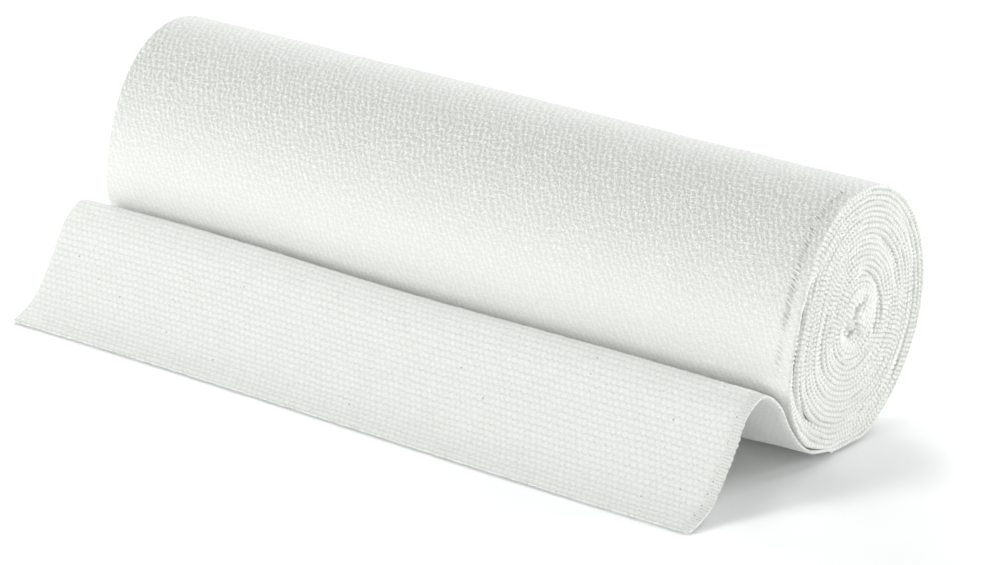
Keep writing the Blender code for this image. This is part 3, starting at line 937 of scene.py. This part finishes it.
def crepe_cotton():
    """Bleached cotton woven with overtwisted warp, which throws its crowns askew and puckers them into short
    slanted strokes instead of even rows. Its colour paints highlights on the strokes, and shade between them,
    in the floats' gaps near the rim and where it puckers most."""
    material, node, shader = blank("crepe_twist_cotton")
    place, x, s = strip_places(node)
    crown, row = weave_places(node)
    pucker = node("Attribute", attribute_name="pucker", output="Fac")
    relief = node("Attribute", attribute_name="relief", output="Fac")

    # The twist throws the crowns nearly one pitch aside, over 0.8 to 1 mm
    crown = node("Math MULTIPLY_ADD", node("TexNoise", FIBROUS | {"Vector": place, "Scale": 1.2}), 0.9, crown)
    row = node("Math MULTIPLY_ADD", node("TexNoise", FIBROUS | {"Vector": place, "Scale": 1.0}), 0.9, row)
    warp = crown_nodes(node, crown, row, CREPE_STROKE)
    weft = crown_nodes(node, node("Math ADD", crown, 0.5), row, CREPE_WEFT)
    strokes = node("Math MAXIMUM", warp, node("Math MULTIPLY", weft, 0.8))
    patches = node("TexNoise", SMOOTH | {"Vector": place, "Scale": 1.7})
    lively = node("Math MULTIPLY_ADD", patches, 4.4, -1.7, use_clamp=True)
    fibres = node("TexNoise", FIBROUS | {"Vector": place, "Scale": 3.0})

    # Height: strokes where the yarn is lively, fibres and low crowns, level at zero, and all of it as puckered
    strokes = node("Math MULTIPLY", strokes, lively)
    height = node("Math MULTIPLY_ADD", strokes, 0.36, node("Math MULTIPLY", fibres, 1.9))
    height = node("Math MULTIPLY_ADD", crown_nodes(node, crown, row, CREPE_CROWN), 0.13, height)
    height = node("Math MULTIPLY", node("Math SUBTRACT", height, 1.16), pucker)

    # The ladder line's slits, slanting and uneven, where it stands open, painted dark as the shade inside them
    slant = node("Math MULTIPLY_ADD", node("Math ABSOLUTE", x), -LADDER_SLANT, s)
    slant = node("Math MULTIPLY_ADD", node("TexNoise", SMOOTH | {"Vector": place, "Scale": 0.6}), 0.8, slant)
    slits = node("Math COSINE", node("Math MULTIPLY", slant, 2 * math.pi / LADDER_PITCH))
    slits = node("Math MULTIPLY_ADD", slits, 1.6, -0.5, use_clamp=True)
    hole = node("Math MULTIPLY", slits, node("Math SUBTRACT", 1.0, relief), use_clamp=True)

    # Colour from the height: painted shade in the gaps, painted highlights on the strokes, and painted shade
    # deepening where the crepe puckers
    shade = node("Math MULTIPLY_ADD", height, 1.08, node("Math MULTIPLY_ADD", pucker, -0.18, 0.713))
    shade = node("Math MULTIPLY", shade, node("Math MULTIPLY_ADD", hole, -1.0, 1.0), use_clamp=True)
    cloth = finish_cotton(node, shader, height, shade, 0.00015, ("#b0b5ab", "#d0d3ce", "#f9faf7"), 0.6)
    # Painted shade: the slits sink to an olive grey
    hole_shade = node("Math MULTIPLY", hole, 0.45)
    seen = node("Mix", {0: hole_shade, 6: cloth, 7: linear("#8d9080")}, data_type="RGBA", output=2)
    shader.id_data.links.new(seen, shader.inputs["Base Color"])
    return material


def ribbed_cotton():
    """The same cloth's inner face, plain woven: rows of plump crowns in bleached cotton, with painted shade in
    the hairline gaps and pinholes between them, and a few specks of seed husk."""
    material, node, shader = blank("plain_woven_cotton")
    place, x, s = strip_places(node)
    crown, row = weave_places(node)
    relief = node("Attribute", attribute_name="relief", output="Fac")
    crown = node("Math MULTIPLY_ADD", node("TexNoise", SMOOTH | {"Vector": place, "Scale": 1.2}), 0.22, crown)
    row = node("Math MULTIPLY_ADD", node("TexNoise", SMOOTH | {"Vector": place, "Scale": 1.0}), 0.16, row)
    crowns = crown_nodes(node, crown, row, PLAIN_CROWN)

    # The selvedge at the right is a band of short dashes, two to a rib
    from_side = node("Math SUBTRACT", CLOTH_WIDTH / 2, node("Math ABSOLUTE", x))
    shown = node("Math MULTIPLY_ADD", node("Math GREATER_THAN", x, 0.0), 1 - LEFT_BAND, LEFT_BAND)
    band = node("Math MULTIPLY_ADD", from_side, -1.6, 1.6 * SELVEDGE_WIDTH, use_clamp=True)
    band = node("Math MULTIPLY", band, shown)
    dashes = node("Math MULTIPLY_ADD", node("TexNoise", SMOOTH | {"Vector": place, "Scale": 1.1}), 0.5, s)
    dashes = node("Math COSINE", node("Math MULTIPLY", dashes, 4 * math.pi / RIB_PITCH))
    dashes = node("Math MULTIPLY_ADD", dashes, 0.34, 0.52)
    crowns = node("Mix", {"Factor": band, "A": crowns, "B": dashes})

    # Strands 0.4 mm apart and fibres along them
    strands = node("Math ADD", x, node("TexNoise", SMOOTH | {"Vector": place, "Scale": 0.9}))
    strands = node("Math SINE", node("Math MULTIPLY", strands, 2 * math.pi / 0.41))
    drawn_out = node("VectorMath MULTIPLY", place, (1.0, 0.7, 1.0))
    fibres = node("TexNoise", FIBROUS | {"Vector": drawn_out, "Scale": 3.2})
    fine = node("Math MULTIPLY_ADD", strands, 0.10, node("Math MULTIPLY", fibres, 1.2))
    height = node("Math MULTIPLY_ADD", crowns, 0.55, fine)
    # Colour: painted highlights on the crowns, painted shade in the gaps and where the relief lies low, over the
    # fibres' own grain
    shade = node("Math MULTIPLY_ADD", crowns, 0.40, node("Math MULTIPLY_ADD", fibres, 1.35, -0.44))
    shade = node("Math MULTIPLY_ADD", relief, 0.22, shade, use_clamp=True)

    # Pinholes here and there inside the selvedge, painted dark as the shade seen through them
    line = node("Math MULTIPLY", node("Math SUBTRACT", from_side, SELVEDGE_WIDTH - 0.4), 1 / 0.28)
    line = node("Math SUBTRACT", 1.0, node("Math MULTIPLY", line, line), use_clamp=True)
    picks = node("Math COSINE", node("Math MULTIPLY", s, 2 * math.pi / RIB_PITCH))
    picks = node("Math MULTIPLY_ADD", picks, 2.0, -1.0, use_clamp=True)
    some = node("Math GREATER_THAN", node("TexNoise", SMOOTH | {"Vector": place, "Scale": 0.41}), 0.56)
    pinhole_shade = node("Math MULTIPLY", line, picks)
    pinhole_shade = node("Math MULTIPLY", pinhole_shade, node("Math MULTIPLY", some, shown), use_clamp=True)
    shade = node("Math MULTIPLY", shade, node("Math MULTIPLY_ADD", pinhole_shade, -0.8, 1.0), use_clamp=True)
    colour = finish_cotton(node, shader, height, shade, 0.00024, ("#a0a59b", "#d8dbd6", "#eff0ed"), 0.25)

    # Seed husk: a speck 0.4 mm across in every seventh square of 8 mm
    cells = node("TexVoronoi", {"Vector": place, "Scale": 0.12, "Randomness": 1.0},
                 voronoi_dimensions="2D", feature="F1").node
    chosen = node("Math GREATER_THAN", node("SeparateColor", cells.outputs["Color"]), 0.85)
    near = node("Math LESS_THAN", cells.outputs["Distance"], 0.024)
    husk_and_hole_shade = node("Math MULTIPLY", node("Math MULTIPLY", chosen, near), 0.6)
    # The pinholes' painted shade joins the husk specks
    husk_and_hole_shade = node("Math MAXIMUM", husk_and_hole_shade, node("Math MULTIPLY", pinhole_shade, 0.45))
    seen = node("MixRGB", {"Fac": husk_and_hole_shade, "Color1": colour, "Color2": linear("#4a4a40")}, blend_type="MIX")
    shader.id_data.links.new(seen, shader.inputs["Base Color"])
    return material


def looped_cotton():
    """The selvedges' weft loops, packed turn on turn: soft white beads with grey-green shade between them."""
    material, node, shader = blank("selvedge_loop_cotton")
    place, _, _ = strip_places(node)
    relief = node("Attribute", attribute_name="relief", output="Fac")
    fibres = node("TexNoise", FIBROUS | {"Vector": place, "Scale": 2.0})
    shade = node("Math MULTIPLY_ADD", relief, 0.95, -0.22)
    shade = node("Math MULTIPLY_ADD", fibres, 0.35, shade, use_clamp=True)
    finish_cotton(node, shader, fibres, shade, 0.00014, ("#a8ada4", "#dadcd7", "#f1f2ef"), 0.25)
    return material


def thread_cotton():
    """A single soft cotton yarn, brighter than the cloth because nothing shades it."""
    material, node, shader = blank("single_cotton_yarn")
    place = node("TexCoord", output="Object")
    per_metre = 2500.0  # fibres 0.4 mm apart, in the object's own metres
    fibres = node("TexNoise", {"Vector": place, "Scale": per_metre, "Detail": 2.0})
    finish_cotton(node, shader, fibres, fibres, 0.00004, ("#d4d7d2", "#e4e6e2", "#edeeeb"), 0.3)
    return material


def studio_floor():
    """A sheet of matt white backdrop paper."""
    material, _, shader = blank("matt_white_paper")
    shader.inputs["Base Color"].default_value = linear("#fafcfc")
    shader.inputs["Roughness"].default_value = 0.95
    shader.inputs["Specular IOR Level"].default_value = 0.1
    return material


# ---------------------------------------------------------------- studio

# Degrees round from the front, degrees up, metres away, and the point it looks at: from a least-squares fit
CAMERA = (37.264, 20.848, 1.2509, (0.00023, 0.01947, 0.01531))
CAMERA_LENS = 193.15  # millimetres, on a sensor 36 mm wide
CAMERA_SENSOR = 36.0
LIT_POINT = (0.0, 0.0, 0.02)
LAMP_DISTANCE = 1.5
WHITE = "#ffffff"
AIR_STRENGTH = 0.02
FLOOR_REACH = 6.0
# Name, degrees round from the front, degrees up, metres across, watts. A least-squares fit picked these nine
# places out of 35, and their watts
LAMPS = (
    ("front", 330, 20, 0.6, 17.6),
    ("left_low_back", 225, 12, 0.6, 3.6),
    ("left_back", 225, 35, 0.6, 7.2),
    ("left_high_back", 225, 62, 0.6, 4.4),
    ("overhead", 200, 80, 0.6, 4.7),
    ("right_high_back", 135, 62, 0.6, 4.5),
    ("right_low_back", 135, 12, 0.6, 14.3),
    ("right_strip", 90, 5, 0.25, 2.4),
    ("near_strip", 45, 5, 0.25, 5.2),
)


def place_in_scene(name, data):
    made = bpy.data.objects.new(name, data)
    bpy.context.scene.collection.objects.link(made)
    return made


def aim(made, azimuth, elevation, distance, at):
    """Puts a lamp or the camera this far from a point, looking at it. Azimuth 0 is the front, 90 the right."""
    a, e = math.radians(azimuth), math.radians(elevation)
    where = Vector(at) + distance * Vector((math.sin(a) * math.cos(e), -math.cos(a) * math.cos(e), math.sin(e)))
    made.location = where
    made.rotation_mode = "QUATERNION"
    made.rotation_quaternion = (Vector(at) - where).to_track_quat("-Z", "Y")


def soft_box(name, azimuth, elevation, size, watts):
    light = bpy.data.lights.new(name, "AREA")
    light.shape = "DISK"
    light.size = size
    light.energy = watts
    light.color = linear(WHITE)[:3]
    aim(place_in_scene(name, light), azimuth, elevation, LAMP_DISTANCE, LIT_POINT)


def make_studio():
    floor = bpy.data.meshes.new("backdrop_paper")
    reach = FLOOR_REACH
    corners = [(-reach, -reach, 0), (reach, -reach, 0), (reach, reach, 0), (-reach, reach, 0)]
    floor.from_pydata(corners, [], [(0, 1, 2, 3)])
    floor.materials.append(studio_floor())
    place_in_scene("backdrop_paper", floor)
    for lamp in LAMPS:
        soft_box(*lamp)
    world = bpy.data.worlds.new("studio_air")
    world.use_nodes = True
    air = world.node_tree.nodes["Background"]
    air.inputs["Color"].default_value = linear(WHITE)
    air.inputs["Strength"].default_value = AIR_STRENGTH
    bpy.context.scene.world = world
    bpy.context.scene.view_settings.view_transform = "Standard"


def make_camera():
    lens = bpy.data.cameras.new("camera")
    lens.sensor_width = CAMERA_SENSOR
    lens.lens = CAMERA_LENS
    lens.clip_start, lens.clip_end = 0.05, 20
    camera = place_in_scene("camera", lens)
    aim(camera, *CAMERA)
    bpy.context.scene.camera = camera


make_camera()
make_studio()

CREPE = crepe_cotton()
RIBBED = ribbed_cotton()
LOOPED = looped_cotton()
YARN = thread_cotton()

wound = [
    wound_outside("wound_outside", OUTSIDE_SPLIT, OUTSIDE_END, CREPE),
    wound_outside("wound_outside_behind", OUTSIDE_START, OUTSIDE_SPLIT, CREPE),
    wound_end("wound_end_right", 1, RIGHT_LOOP_PARTS, LOOPED),
    wound_end("wound_end_left", -1, LEFT_LOOP_PARTS, LOOPED),
    ladder_floats(YARN),
    inner_end("inner_end_right", 1, LOOPED),
    inner_end("inner_end_left", -1, LOOPED),
]
loose = [loose_end(RIBBED, CREPE)]
for piece in wound:
    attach(piece, "root")
for piece in loose:
    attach(piece, "root")
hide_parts("wound_roll")
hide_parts("loose_end")
